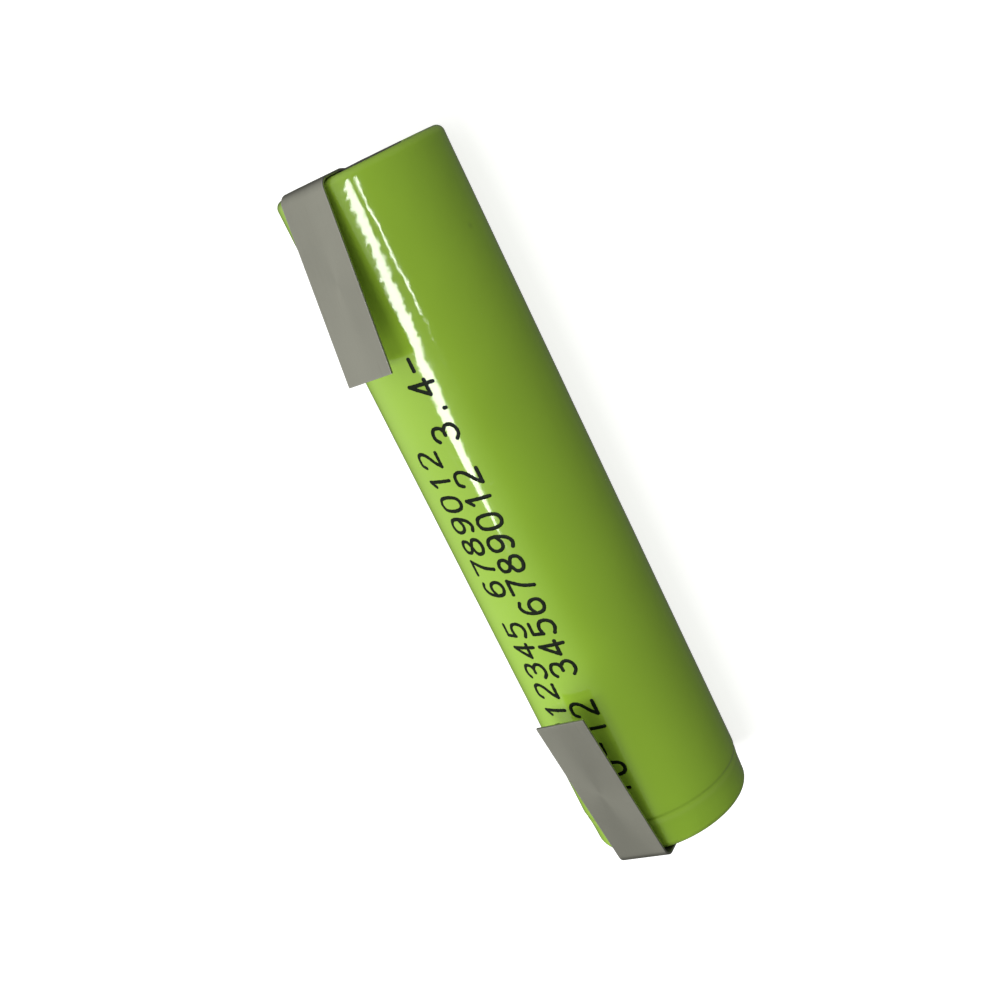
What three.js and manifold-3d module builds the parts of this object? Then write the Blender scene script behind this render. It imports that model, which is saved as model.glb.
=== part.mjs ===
// Cylindrical AAA nickel-metal-hydride cell with a solder tab on each end.
// Units are millimetres. The cell lies on its side: +X is the positive end, +Z is up
// towards the folded tabs, and the origin is on the resting surface under the middle.
import * as THREE from 'three';
import Module from 'manifold-3d';
import { mergeVertices } from 'three/addons/utils/BufferGeometryUtils.js';

// Sleeved cell
const CELL_LENGTH = 44.5;
const CELL_RADIUS = 5.25;
const FIT_GAP = 0.02;
const SLEEVE_SIDES = 64;
const INNER_SIDES = 48;
const ARC_STEPS = 4;
const MERGE_DISTANCE = 1e-4;

// Heat-shrink sleeve. The shoulder sizes are measured back from the positive end.
const SLEEVE_WALL = 0.12;
const SLEEVE_CORNER = 0.65;
const SLEEVE_LIP_RADIUS = 4.05;
const SHOULDER_START = 2.55;
const SHOULDER_CREASE = 2.25;
const SHOULDER_CREASE_RADIUS = 5.15;
const SHOULDER_RADIUS = 5.08;
const SHOULDER_CORNER = 0.5;

// Steel can. The bead and crimp sizes are measured back from the positive end.
const CAN_WALL = 0.2;
const CAN_FLOOR = 0.3;
const CAN_CORNER = 0.5;
const CAN_INNER_CORNER = 0.3;
const BEAD_MIDDLE = 2.3;
const BEAD_DEPTH = 0.42;
const BEAD_FLAT = 0.24;
const BEAD_FLANK = 0.38;
const BEAD_INNER_FLAT = 0.17;
const BEAD_INNER_FOOT = 0.6;
const FLOOR_ARC_STEPS = 3;
const CRIMP_BACK = 0.46;
const CRIMP_THICKNESS = 0.22;
const CRIMP_LIP_RADIUS = 3.95;

// Closure held by the crimp
const GASKET_WALL = 0.24;
const GASKET_FOOT = 0.2;
const GASKET_CHAMFER = 0.15;
const GASKET_LIP_RADIUS = 3.75;
const PLATE_THICKNESS = 0.35;
const HEADER_RADIUS = 4.44;
const VENT_HOLE_RADIUS = 0.75;
const CAP_WALL = 0.2;
const CAP_DOME_RADIUS = 2.9;
const CAP_EDGE = 0.1;
const CAP_PROUD = 0.04;
const CAP_VENTS = 3;
const CAP_VENT_RADIUS = 0.28;
const CAP_VENT_SIDES = 12;
const PLUG_RADIUS = 1.55;
const PLUG_EDGE = 0.12;
const PLUG_TRAVEL = 0.15;
const PLUG_SPARE = 0.04;
const WASHER_THICKNESS = 0.3;
const WASHER_HOLE_RADIUS = 3.2;
const WASHER_RADIUS = 4.55;

// Wound electrodes, as layers of one spiral
const CORE_RADIUS = 0.8;
const POSITIVE_SHEET = 0.6;
const NEGATIVE_SHEET = 0.34;
const SEPARATOR_SHEET = 0.12;
const WINDING_STEP_DEG = 15;
const WINDING_ROLL_DEG = -24;
const POSITIVE_EDGE_BACK = 0.7;
const NEGATIVE_EDGE_BACK = 0.5;
const WINDING_TO_BEAD = 1.15;

// The layers of one turn, from the inside out. The last turn of the negative sheet is
// the outermost wrap, and it presses on the can.
const LAYERS = [
  { name: 'positive_electrode', thickness: POSITIVE_SHEET, edgeBack: POSITIVE_EDGE_BACK,
    fromDeg: -60, toDeg: 795, finish: 'positivePaste' },
  { name: 'inner_separator', thickness: SEPARATOR_SHEET, edgeBack: 0,
    fromDeg: -60, toDeg: 825, finish: 'felt' },
  { name: 'negative_electrode', thickness: NEGATIVE_SHEET, edgeBack: NEGATIVE_EDGE_BACK,
    fromDeg: 30, toDeg: 840, finish: 'negativePowder' },
  { name: 'outer_separator', thickness: SEPARATOR_SHEET, edgeBack: 0,
    fromDeg: 15, toDeg: 480, finish: 'felt' },
];

// Insulating discs at the two ends of the winding
const DISC_THICKNESS = 0.2;
const BOTTOM_DISC_RADIUS = 4.6;
const BOTTOM_DISC_HOLE = 0.8;
const TOP_DISC_RADIUS = 4.75;
const TOP_DISC_HOLE = 1.6;

// Positive lead, a folded nickel ribbon
const LEAD_WIDTH = 1.5;
const LEAD_THICKNESS = 0.1;
const LEAD_FOLD = 0.45;
const LEAD_PAD_START = 1.3;
const LEAD_PAD_END = 3.2;
const LEAD_DROP = 1.1;
const LEAD_FOLD_STEPS = 6;

// Solder tabs: a weld leg on the end face, a tight bend, and a leg folded along the sleeve
const TAB_WIDTH = 3.3;
const TAB_THICKNESS = 0.15;
const TAB_ROOT_RADIUS = 5.45;
const TAB_PROUD = 0.21;
const TAB_BEND_RADIUS = 0.5;
const TAB_BEND_STEPS = 5;
const TAB_REACH = 2.4;
const TAB_SEAT_RADIUS = 3.0;
const TAB_STEP_RADIUS = 3.6;
const TAB_HINGE_GAP = 0.04;
const TABS = [
  { name: 'negative', end: -1, aroundDeg: 2.9, leanDeg: 10, legLength: 11.0, seatSink: 0.18 },
  { name: 'positive', end: 1, aroundDeg: -2.9, leanDeg: 8.5, legLength: 11.3, seatSink: 0 },
];

// Places along and around the axis that follow from the sizes above
const HALF = CELL_LENGTH / 2;
const AXIS_HEIGHT = CELL_RADIUS * Math.cos(Math.PI / SLEEVE_SIDES);
const CAN_RADIUS = CELL_RADIUS - SLEEVE_WALL - FIT_GAP;
const CAN_BORE = CAN_RADIUS - CAN_WALL;
const CAN_BASE_X = -HALF + SLEEVE_WALL + FIT_GAP;
const MOUTH_RADIUS = SHOULDER_RADIUS - SLEEVE_WALL - FIT_GAP;
const MOUTH_BORE = MOUTH_RADIUS - CAN_WALL;
const MOUTH_CORNER = SHOULDER_CORNER - SLEEVE_WALL;
const LIP_CORNER = MOUTH_CORNER - CAN_WALL;
const CRIMP_X = HALF - CRIMP_BACK;
const BEAD_X = HALF - BEAD_MIDDLE;
const WASHER_X = CRIMP_X + FIT_GAP;
const GASKET_TOP_X = CRIMP_X - CRIMP_THICKNESS - FIT_GAP;
const FLANGE_TOP_X = GASKET_TOP_X - GASKET_WALL - FIT_GAP;
const FLANGE_X = FLANGE_TOP_X - CAP_WALL;
const PLATE_TOP_X = FLANGE_X - FIT_GAP;
const PLATE_X = PLATE_TOP_X - PLATE_THICKNESS;
const CAP_TOP_X = HALF + CAP_PROUD;
const CAP_BORE = CAP_DOME_RADIUS - CAP_WALL;
const BOTTOM_DISC_X = CAN_BASE_X + CAN_FLOOR + FIT_GAP;
const WINDING_BASE_X = BOTTOM_DISC_X + DISC_THICKNESS + FIT_GAP;
const WINDING_TOP_X = BEAD_X - WINDING_TO_BEAD;
const TOP_DISC_X = WINDING_TOP_X + FIT_GAP;
const WINDING_PITCH = LAYERS.reduce((sum, layer) => sum + layer.thickness + FIT_GAP, 0);

// ----------------------------------------------------------------- finishes

const FINISHES = {
  sleeve: ['#86b43c', 0.3, 0],
  steel: ['#b9bbb8', 0.32, 0.9],
  nickel: ['#98988a', 0.4, 0.85],
  nylon: ['#e4e0cf', 0.45, 0],
  rubber: ['#26272a', 0.8, 0],
  paper: ['#efeee8', 0.85, 0],
  film: ['#d9dccb', 0.4, 0],
  felt: ['#f2f1ea', 0.9, 0],
  positivePaste: ['#3f4743', 0.85, 0.1],
  negativePowder: ['#5d5f63', 0.7, 0.35],
};

function finish(name) {
  const [color, roughness, metalness] = FINISHES[name];
  return new THREE.MeshStandardMaterial({ color, roughness, metalness });
}

function addPiece(parent, name, geometry, finishName) {
  const mesh = new THREE.Mesh(geometry, finish(finishName));
  mesh.name = name;
  parent.add(mesh);
}

// ----------------------------------------------------------- shape helpers

// Points of an arc about (x, r), in the (axial, radial) plane.
function arc(x, r, radius, fromDeg, toDeg, steps = ARC_STEPS) {
  const points = [];
  for (let i = 0; i <= steps; i += 1) {
    const angle = THREE.MathUtils.degToRad(fromDeg + ((toDeg - fromDeg) * i) / steps);
    points.push([x + radius * Math.cos(angle), r + radius * Math.sin(angle)]);
  }
  return points;
}

// A body turned about the X axis from (axial, radial) points. They run towards +X on the
// outer side and come back on the inner side, or start and end on the axis.
function turned(outline, sides = INNER_SIDES) {
  const points = outline.map(([x, r]) => new THREE.Vector2(r, x));
  if (outline[0][1] > 0) {
    points.push(points[0].clone());
  }
  const geometry = new THREE.LatheGeometry(points, sides, Math.PI / sides);
  geometry.rotateZ(-Math.PI / 2);
  return geometry;
}

// A flat washer or disc with a round hole.
function ring(x, thickness, holeRadius, outerRadius) {
  return turned([
    [x, outerRadius],
    [x + thickness, outerRadius],
    [x + thickness, holeRadius],
    [x, holeRadius],
  ]);
}

// The outline of a ribbon of even thickness whose middle follows a line of (x, z) points.
function ribbonOutline(path, thickness) {
  const middle = path.map(([x, z]) => new THREE.Vector2(x, z));
  const sides = [[], []];
  middle.forEach((point, i) => {
    const before = middle[Math.max(i - 1, 0)];
    const after = middle[Math.min(i + 1, middle.length - 1)];
    const arriving = point.clone().sub(i > 0 ? before : point).normalize();
    const leaving = after.clone().sub(point).normalize();
    const along = arriving.clone().add(leaving).normalize();
    const straight = i > 0 ? arriving : leaving;
    const reach = thickness / 2 / along.dot(straight);
    const across = new THREE.Vector2(-along.y, along.x).multiplyScalar(reach);
    sides[0].push(point.clone().add(across));
    sides[1].unshift(point.clone().sub(across));
  });
  return [...sides[0], ...sides[1]];
}

// A ribbon of a given width, centred on y = 0.
function ribbon(path, thickness, width) {
  const shape = new THREE.Shape(ribbonOutline(path, thickness));
  const geometry = new THREE.ExtrudeGeometry(shape, { depth: width, bevelEnabled: false });
  geometry.translate(0, 0, -width / 2);
  geometry.rotateX(Math.PI / 2);
  return geometry;
}

const wasm = await Module();
wasm.setup();

// A closed mesh as a solid that can be cut.
function toSolid(geometry) {
  const bare = geometry.clone();
  bare.deleteAttribute('normal');
  bare.deleteAttribute('uv');
  const merged = mergeVertices(bare, MERGE_DISTANCE);
  const corners = merged.index.array;
  const triVerts = [];
  for (let i = 0; i < corners.length; i += 3) {
    const [a, b, c] = corners.slice(i, i + 3);
    if (a !== b && b !== c && c !== a) {
      triVerts.push(a, b, c);
    }
  }
  return new wasm.Manifold(new wasm.Mesh({
    numProp: 3,
    vertProperties: new Float32Array(merged.attributes.position.array),
    triVerts: new Uint32Array(triVerts),
  }));
}

function toGeometry(solid) {
  const mesh = solid.getMesh();
  const geometry = new THREE.BufferGeometry();
  geometry.setAttribute('position', new THREE.BufferAttribute(mesh.vertProperties, 3));
  geometry.setIndex(new THREE.BufferAttribute(mesh.triVerts, 1));
  geometry.computeVertexNormals();
  return geometry;
}

// ------------------------------------------------------------------ pieces

// Heat-shrink film drawn in over both rims and creased over the can's bead.
function sleeveSide(inset) {
  const corner = SLEEVE_CORNER - inset;
  const shoulderCorner = SHOULDER_CORNER - inset;
  const radius = CELL_RADIUS - inset;
  const shoulder = SHOULDER_RADIUS - inset;
  const end = HALF - inset;
  return [
    [-end, SLEEVE_LIP_RADIUS],
    ...arc(-end + corner, radius - corner, corner, 180, 90),
    [HALF - SHOULDER_START, radius],
    [HALF - SHOULDER_CREASE, SHOULDER_CREASE_RADIUS - inset],
    ...arc(end - shoulderCorner, shoulder - shoulderCorner, shoulderCorner, 90, 0),
    [end, SLEEVE_LIP_RADIUS],
  ];
}

function sleeve() {
  return turned([...sleeveSide(0), ...sleeveSide(SLEEVE_WALL).reverse()], SLEEVE_SIDES);
}

// Drawn steel cup, beaded below the closure and crimped in over it.
function can() {
  const beadRadius = CAN_RADIUS - BEAD_DEPTH;
  const flat = BEAD_FLAT / 2;
  const foot = flat + BEAD_FLANK;
  const floorX = CAN_BASE_X + CAN_FLOOR;
  const lipX = CRIMP_X - CRIMP_THICKNESS;
  return turned([
    [CAN_BASE_X, 0],
    ...arc(CAN_BASE_X + CAN_CORNER, CAN_RADIUS - CAN_CORNER, CAN_CORNER, 180, 90),
    [BEAD_X - foot, CAN_RADIUS],
    [BEAD_X - flat, beadRadius],
    [BEAD_X + flat, beadRadius],
    [BEAD_X + foot, MOUTH_RADIUS],
    ...arc(CRIMP_X - MOUTH_CORNER, MOUTH_RADIUS - MOUTH_CORNER, MOUTH_CORNER, 90, 0),
    [CRIMP_X, CRIMP_LIP_RADIUS],
    [lipX, CRIMP_LIP_RADIUS],
    ...arc(lipX - LIP_CORNER, MOUTH_BORE - LIP_CORNER, LIP_CORNER, 0, 90),
    [BEAD_X + BEAD_INNER_FOOT, MOUTH_BORE],
    [BEAD_X + BEAD_INNER_FLAT, beadRadius - CAN_WALL],
    [BEAD_X - BEAD_INNER_FLAT, beadRadius - CAN_WALL],
    [BEAD_X - BEAD_INNER_FOOT, CAN_BORE],
    ...arc(
      floorX + CAN_INNER_CORNER,
      CAN_BORE - CAN_INNER_CORNER,
      CAN_INNER_CORNER,
      90,
      180,
      FLOOR_ARC_STEPS,
    ),
    [floorX, 0],
  ]);
}

// Nylon seal of U section that wraps the edges of the plate and the cap flange.
function gasket() {
  const outer = MOUTH_BORE - FIT_GAP;
  const inner = outer - GASKET_WALL;
  const footTopX = PLATE_X - FIT_GAP;
  const footX = footTopX - GASKET_FOOT;
  return turned([
    [footX, outer - GASKET_CHAMFER],
    [footX + GASKET_CHAMFER, outer],
    ...arc(GASKET_TOP_X - LIP_CORNER, outer - LIP_CORNER, LIP_CORNER, 90, 0),
    [GASKET_TOP_X, GASKET_LIP_RADIUS],
    [GASKET_TOP_X - GASKET_WALL, GASKET_LIP_RADIUS],
    [GASKET_TOP_X - GASKET_WALL, inner],
    [footTopX, inner],
    [footTopX, GASKET_LIP_RADIUS],
    [footX, GASKET_LIP_RADIUS],
  ]);
}

// Flat-topped terminal cup on a flange, with vent holes through its wall.
function terminalCap() {
  const shell = turned([
    [CAP_TOP_X - CAP_WALL, 0],
    [CAP_TOP_X - CAP_WALL, CAP_BORE],
    [FLANGE_X, CAP_BORE],
    [FLANGE_X, HEADER_RADIUS],
    [FLANGE_TOP_X, HEADER_RADIUS],
    [FLANGE_TOP_X, CAP_DOME_RADIUS],
    [CAP_TOP_X - CAP_EDGE, CAP_DOME_RADIUS],
    [CAP_TOP_X, CAP_DOME_RADIUS - CAP_EDGE],
    [CAP_TOP_X, 0],
  ]);
  let solid = toSolid(shell);
  const holeX = (FLANGE_TOP_X + CAP_TOP_X - CAP_WALL) / 2;
  for (let i = 0; i < CAP_VENTS; i += 1) {
    const hole = new THREE.CylinderGeometry(
      CAP_VENT_RADIUS,
      CAP_VENT_RADIUS,
      CAP_DOME_RADIUS,
      CAP_VENT_SIDES,
    );
    hole.translate(holeX, CAP_DOME_RADIUS, 0);
    hole.rotateX((i / CAP_VENTS) * 2 * Math.PI);
    solid = solid.subtract(toSolid(hole));
  }
  return toGeometry(solid);
}

// Rubber safety valve that rests on the plate's vent hole, with room to lift in the cap.
function ventPlug() {
  const baseX = PLATE_TOP_X + FIT_GAP;
  const topX = CAP_TOP_X - CAP_WALL - PLUG_TRAVEL - PLUG_SPARE;
  return turned([
    [baseX, 0],
    [baseX, PLUG_RADIUS],
    [topX - PLUG_EDGE, PLUG_RADIUS],
    [topX, PLUG_RADIUS - PLUG_EDGE],
    [topX, 0],
  ]);
}

// One sheet of the winding: a layer of the common spiral, cut to its width. The roll
// turns the winding's heavy side down, so the cell lies still with its tabs on top.
function woundSheet(layer) {
  const side = (offset, fromDeg, toDeg) => {
    const points = [];
    const steps = Math.abs(toDeg - fromDeg) / WINDING_STEP_DEG;
    for (let i = 0; i <= steps; i += 1) {
      const turn = fromDeg + ((toDeg - fromDeg) * i) / steps;
      const radius = CORE_RADIUS + offset + (WINDING_PITCH * turn) / 360;
      const angle = THREE.MathUtils.degToRad(turn);
      points.push(new THREE.Vector2(radius * Math.cos(angle), radius * Math.sin(angle)));
    }
    return points;
  };
  const outer = side(layer.offset + layer.thickness, layer.fromDeg, layer.toDeg);
  const inner = side(layer.offset, layer.toDeg, layer.fromDeg);
  const lowX = WINDING_BASE_X + layer.edgeBack;
  const depth = WINDING_TOP_X - layer.edgeBack - lowX;
  const shape = new THREE.Shape([...outer, ...inner]);
  const geometry = new THREE.ExtrudeGeometry(shape, { depth, bevelEnabled: false });
  geometry.translate(0, 0, lowX);
  geometry.rotateY(Math.PI / 2);
  geometry.rotateX(THREE.MathUtils.degToRad(WINDING_ROLL_DEG));
  return geometry;
}

// Nickel ribbon from the plate's underside, folded back and down to the positive sheet.
function positiveLead() {
  const padX = PLATE_X - FIT_GAP - LEAD_THICKNESS / 2;
  const foldX = padX - LEAD_FOLD;
  const lowX = WINDING_TOP_X - POSITIVE_EDGE_BACK + FIT_GAP;
  const turnRadius = LEAD_FOLD / 2;
  const fold = arc(foldX + turnRadius, LEAD_PAD_END, turnRadius, 0, 180, LEAD_FOLD_STEPS);
  const path = [
    [padX, LEAD_PAD_START],
    ...fold,
    [foldX, LEAD_DROP],
    [lowX, LEAD_DROP],
  ];
  return ribbon(path.map(([x, r]) => [x, -r]), LEAD_THICKNESS, LEAD_WIDTH);
}

// The two legs of a solder tab, around the hinge line where their middles would meet.
function addTab(parent, tab) {
  const lean = THREE.MathUtils.degToRad(tab.leanDeg);
  const bend = Math.PI / 2 - lean;
  const middleA = TAB_PROUD - TAB_THICKNESS / 2;
  const tangent = TAB_BEND_RADIUS * Math.tan(bend / 2);
  const arcZ = TAB_ROOT_RADIUS - tangent;
  const bendDeg = THREE.MathUtils.radToDeg(bend);
  const middleRadius = TAB_BEND_RADIUS - TAB_THICKNESS / 2;
  const weldPath = [
    [middleA - tab.seatSink, -TAB_REACH],
    [middleA - tab.seatSink, TAB_SEAT_RADIUS],
    [middleA, TAB_STEP_RADIUS],
    ...arc(TAB_PROUD - TAB_BEND_RADIUS, arcZ, middleRadius, 0, bendDeg, TAB_BEND_STEPS),
  ];
  const alongA = -Math.cos(lean);
  const alongZ = Math.sin(lean);
  const legPoint = (distance) => [
    TAB_PROUD + alongA * distance - (alongZ * TAB_THICKNESS) / 2,
    TAB_ROOT_RADIUS + alongZ * distance + (alongA * TAB_THICKNESS) / 2,
  ];
  const legPath = [legPoint(tangent + TAB_HINGE_GAP), legPoint(tab.legLength)];
  const onEnd = (path) => path.map(([a, z]) => [tab.end * (HALF + a), z]);

  const group = new THREE.Group();
  group.rotation.x = THREE.MathUtils.degToRad(tab.aroundDeg);
  parent.add(group);
  const weldLeg = ribbon(onEnd(weldPath), TAB_THICKNESS, TAB_WIDTH);
  const freeLeg = ribbon(onEnd(legPath), TAB_THICKNESS, TAB_WIDTH);
  addPiece(group, `${tab.name}_tab_weld_leg`, weldLeg, 'nickel');
  addPiece(group, `${tab.name}_tab_free_leg`, freeLeg, 'nickel');
}

// ---------------------------------------------------------------- assembly

const cell = new THREE.Group();
cell.position.z = AXIS_HEIGHT;

const sealingPlate = ring(PLATE_X, PLATE_THICKNESS, VENT_HOLE_RADIUS, HEADER_RADIUS);
const endWasher = ring(WASHER_X, WASHER_THICKNESS, WASHER_HOLE_RADIUS, WASHER_RADIUS);
const topInsulator = ring(TOP_DISC_X, DISC_THICKNESS, TOP_DISC_HOLE, TOP_DISC_RADIUS);
const bottomInsulator = ring(BOTTOM_DISC_X, DISC_THICKNESS, BOTTOM_DISC_HOLE, BOTTOM_DISC_RADIUS);

addPiece(cell, 'sleeve', sleeve(), 'sleeve');
addPiece(cell, 'can', can(), 'steel');
addPiece(cell, 'gasket', gasket(), 'nylon');
addPiece(cell, 'sealing_plate', sealingPlate, 'steel');
addPiece(cell, 'terminal_cap', terminalCap(), 'steel');
addPiece(cell, 'vent_plug', ventPlug(), 'rubber');
addPiece(cell, 'end_washer', endWasher, 'paper');
addPiece(cell, 'top_insulator', topInsulator, 'film');
addPiece(cell, 'bottom_insulator', bottomInsulator, 'film');
addPiece(cell, 'positive_lead', positiveLead(), 'nickel');

let offset = 0;
for (const layer of LAYERS) {
  addPiece(cell, layer.name, woundSheet({ ...layer, offset }), layer.finish);
  offset += layer.thickness + FIT_GAP;
}

for (const tab of TABS) {
  addTab(cell, tab);
}

const part = new THREE.Group();
part.add(cell);

export default part;
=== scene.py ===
import math

import bmesh
import bpy
import numpy as np
from mathutils import Matrix, Vector


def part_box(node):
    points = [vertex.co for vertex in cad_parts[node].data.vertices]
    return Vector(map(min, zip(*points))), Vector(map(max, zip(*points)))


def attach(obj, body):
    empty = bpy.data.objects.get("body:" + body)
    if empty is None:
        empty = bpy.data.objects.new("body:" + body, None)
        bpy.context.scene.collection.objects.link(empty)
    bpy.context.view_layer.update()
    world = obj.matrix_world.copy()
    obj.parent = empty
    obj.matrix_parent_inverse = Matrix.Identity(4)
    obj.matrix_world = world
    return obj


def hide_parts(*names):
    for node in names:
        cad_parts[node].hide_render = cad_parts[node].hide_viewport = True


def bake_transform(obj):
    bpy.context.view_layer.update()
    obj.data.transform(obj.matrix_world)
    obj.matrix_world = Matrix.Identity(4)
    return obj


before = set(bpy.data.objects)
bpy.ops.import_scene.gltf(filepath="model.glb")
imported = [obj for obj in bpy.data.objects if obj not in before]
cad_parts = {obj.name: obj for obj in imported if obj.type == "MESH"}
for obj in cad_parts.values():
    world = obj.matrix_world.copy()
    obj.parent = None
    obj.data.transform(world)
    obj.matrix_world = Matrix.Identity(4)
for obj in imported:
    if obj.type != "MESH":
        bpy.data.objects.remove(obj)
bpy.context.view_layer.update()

# Sizes are in millimetres and become metres when a mesh is made. The cell lies along X with
# its positive end at +X, and its solder tabs are on top. Lights and the camera are in metres.
MM = 0.001
MICRON = 0.000001
SHARP_DEG = 32

# Sleeved cell
HALF = 22.25
SLEEVE_RADIUS = 5.2437
AXIS_HEIGHT = SLEEVE_RADIUS
SLEEVE_WALL = 0.12
SLEEVE_CORNER = 0.5
SLEEVE_LIP = 4.05
SHOULDER_START = 19.7
SHOULDER_CREASE = 20.0
CREASE_RADIUS = 5.15
SHOULDER_RADIUS = 5.08
SHOULDER_CORNER = 0.5
FILM_STEP = 0.4
FILM_STEP_INSIDE = 1.2
WAVE_DEPTH = 0.0075
RIDGE_HEIGHT = 0.045
RIDGE_MIDDLE = SHOULDER_CREASE + 0.28
RIDGE_WIDTH = 0.16
PLEATS = 23
PLEAT_LIFT = 0.012
LIP_DRAW = 0.03

# Steel can
CAN_BASE = -22.11
CAN_RADIUS = 5.11
CAN_WALL = 0.2
CAN_FLOOR = 0.3
CAN_CORNER = 0.5
CAN_INNER_CORNER = 0.3
MOUTH_RADIUS = 4.94
MOUTH_CORNER = 0.38
BEAD_MIDDLE = 19.95
BEAD_DEPTH = 0.42
BEAD_FLAT = 0.12
BEAD_FLANK = 0.38
CRIMP_TOP = 21.79
CRIMP_THICKNESS = 0.22
CRIMP_LIP = 3.95
FLOOR_STEP = 0.05
FLOOR_STEP_RADIUS = 2.9

# Closure parts that show at the positive end
CAP_TOP = 22.29
CAP_WALL = 0.2
CAP_RADIUS = 2.9
CAP_EDGE = 0.14
CAP_FLANGE = 21.09
CAP_FLANGE_RADIUS = 4.44
CAP_VENTS = 3
CAP_VENT_RADIUS = 0.28
CAP_INNER_EDGE = 0.1
CAP_FILLET = 0.08
CAP_DISH = 0.025
CAP_DISH_RADIUS = 1.9
WASHER_BACK = 21.81
WASHER_THICKNESS = 0.3
WASHER_HOLE = 3.2
WASHER_RADIUS = 4.55
WASHER_FUZZ = 0.012
WASHER_SAG = 0.012

# Solder tabs
TAB_WIDTH = 3.3
TAB_THICKNESS = 0.15
TAB_ROOT = 5.45
TAB_PROUD = 0.21
TAB_BEND = 0.7
TAB_REACH = 2.4
TAB_SEAT = 3.0
TAB_STEP = 3.6
TAB_EDGE = 0.02
TABS = {
    "negative": {"end": -1, "around": 2.9, "lean": 10.0, "length": 11.0, "sink": 0.18},
    "positive": {"end": 1, "around": -2.9, "lean": 8.5, "length": 11.3, "sink": 0.0},
}

# Steps once round each turned body
SLEEVE_SIDES = 192
CAN_SIDES = 144
WASHER_SIDES = 144
CAP_SIDES = 120


# ---- mesh helpers


def add_object(name, data):
    piece = bpy.data.objects.new(name, data)
    bpy.context.scene.collection.objects.link(piece)
    return piece


def finish_mesh(mesh, sharp_deg=SHARP_DEG):
    """Turn all faces outwards, and shade smooth except over sharp edges."""
    shape = bmesh.new()
    shape.from_mesh(mesh)
    bmesh.ops.recalc_face_normals(shape, faces=shape.faces)
    shape.to_mesh(mesh)
    shape.free()
    mesh.shade_smooth()
    mesh.set_sharp_from_angle(angle=math.radians(sharp_deg))
    mesh.update()


def make_piece(name, points, faces, sharp_deg=SHARP_DEG):
    mesh = bpy.data.meshes.new(name)
    mesh.from_pydata((np.asarray(points) * MM).tolist(), [], faces)
    finish_mesh(mesh, sharp_deg)
    return add_object(name, mesh)


def ring_faces(rows, sides, closed):
    """Quads between rows of points that each go once round."""
    faces = []
    for row in range(rows if closed else rows - 1):
        low = row * sides
        high = ((row + 1) % rows) * sides
        for side in range(sides):
            turn = (side + 1) % sides
            faces.append((low + side, low + turn, high + turn, high + side))
    return faces


def arc(x, r, radius, from_deg, to_deg, steps=8):
    """Points on part of a circle about (x, r)."""
    turns = np.radians(np.linspace(from_deg, to_deg, steps + 1))
    return [(x + radius * math.cos(t), r + radius * math.sin(t)) for t in turns]


def straight(start, end, steps):
    """Points after start, up to and including end."""
    (x0, r0), (x1, r1) = start, end
    shares = [step / steps for step in range(1, steps + 1)]
    return [(x0 + (x1 - x0) * share, r0 + (r1 - r0) * share) for share in shares]


def ease(value, low, high):
    """Smooth step from 0 at low to 1 at high."""
    share = np.clip((value - low) / (high - low), 0, 1)
    return share * share * (3 - 2 * share)


def eased(start, end, steps=6):
    """Points after start, up to and including end, on an S-curve."""
    (x0, r0), (x1, r1) = start, end
    shares = np.linspace(0, 1, steps + 1)[1:]
    return [(x0 + (x1 - x0) * share, r0 + (r1 - r0) * ease(share, 0, 1)) for share in shares]


def hump(value, middle, width):
    """Bell curve: 1 at the middle, fading out over the width."""
    return np.exp(-(((value - middle) / width) ** 2))


def turned(name, outline, sides, relief=None, sharp_deg=SHARP_DEG):
    """A body of revolution about the cell's axis. The outline of (x, radius) points is a loop,
    or runs from the axis to the axis. relief takes x, radius and the angle round of every
    point, and gives back a new x and radius."""
    outline = np.array(outline, float)
    solid = outline[0, 1] == 0
    rows = outline[1:-1] if solid else outline
    angles = np.arange(sides) * 2 * math.pi / sides
    x = np.repeat(rows[:, :1], sides, axis=1)
    radius = np.repeat(rows[:, 1:], sides, axis=1)
    around = np.repeat(angles[None, :], len(rows), axis=0)
    if relief is not None:
        x, radius = relief(x, radius, around)
    points = np.stack(
        [x, radius * np.sin(around), AXIS_HEIGHT + radius * np.cos(around)], axis=2
    ).reshape(-1, 3)
    faces = ring_faces(len(rows), sides, not solid)
    if solid:
        count = len(points)
        poles = [(outline[0, 0], 0, AXIS_HEIGHT), (outline[-1, 0], 0, AXIS_HEIGHT)]
        points = np.concatenate([points, poles])
        last = count - sides
        for side in range(sides):
            turn = (side + 1) % sides
            faces.append((count, turn, side))
            faces.append((count + 1, last + side, last + turn))
    return make_piece(name, points, faces, sharp_deg)


def apply_modifiers(piece):
    """Keep the piece as its modifiers leave it, as a plain mesh."""
    view = bpy.context.evaluated_depsgraph_get()
    piece.data = bpy.data.meshes.new_from_object(piece.evaluated_get(view))
    piece.modifiers.clear()


def add_mask(mesh, label, values):
    """Keep one number for each point of a mesh, for its material to read."""
    mask = mesh.attributes.new(label, "FLOAT", "POINT")
    mask.data.foreach_set("value", values.astype(np.float32))


# ---- shader helpers


def feed(tree, socket, value):
    """Link a socket to another node's output, or set it to a fixed value."""
    if isinstance(value, bpy.types.NodeSocket):
        tree.links.new(value, socket)
    else:
        socket.default_value = value


def add_node(tree, kind, inputs=None, **settings):
    made = tree.nodes.new(kind)
    for key, value in settings.items():
        setattr(made, key, value)
    for key, value in (inputs or {}).items():
        feed(tree, made.inputs[key], value)
    return made


def calc(tree, operation, a, b=0.0, c=0.0, clamp=False):
    inputs = {0: a, 1: b, 2: c}
    made = add_node(tree, "ShaderNodeMath", inputs, operation=operation, use_clamp=clamp)
    return made.outputs[0]


def times(tree, a, b):
    return calc(tree, "MULTIPLY", a, b)


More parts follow.
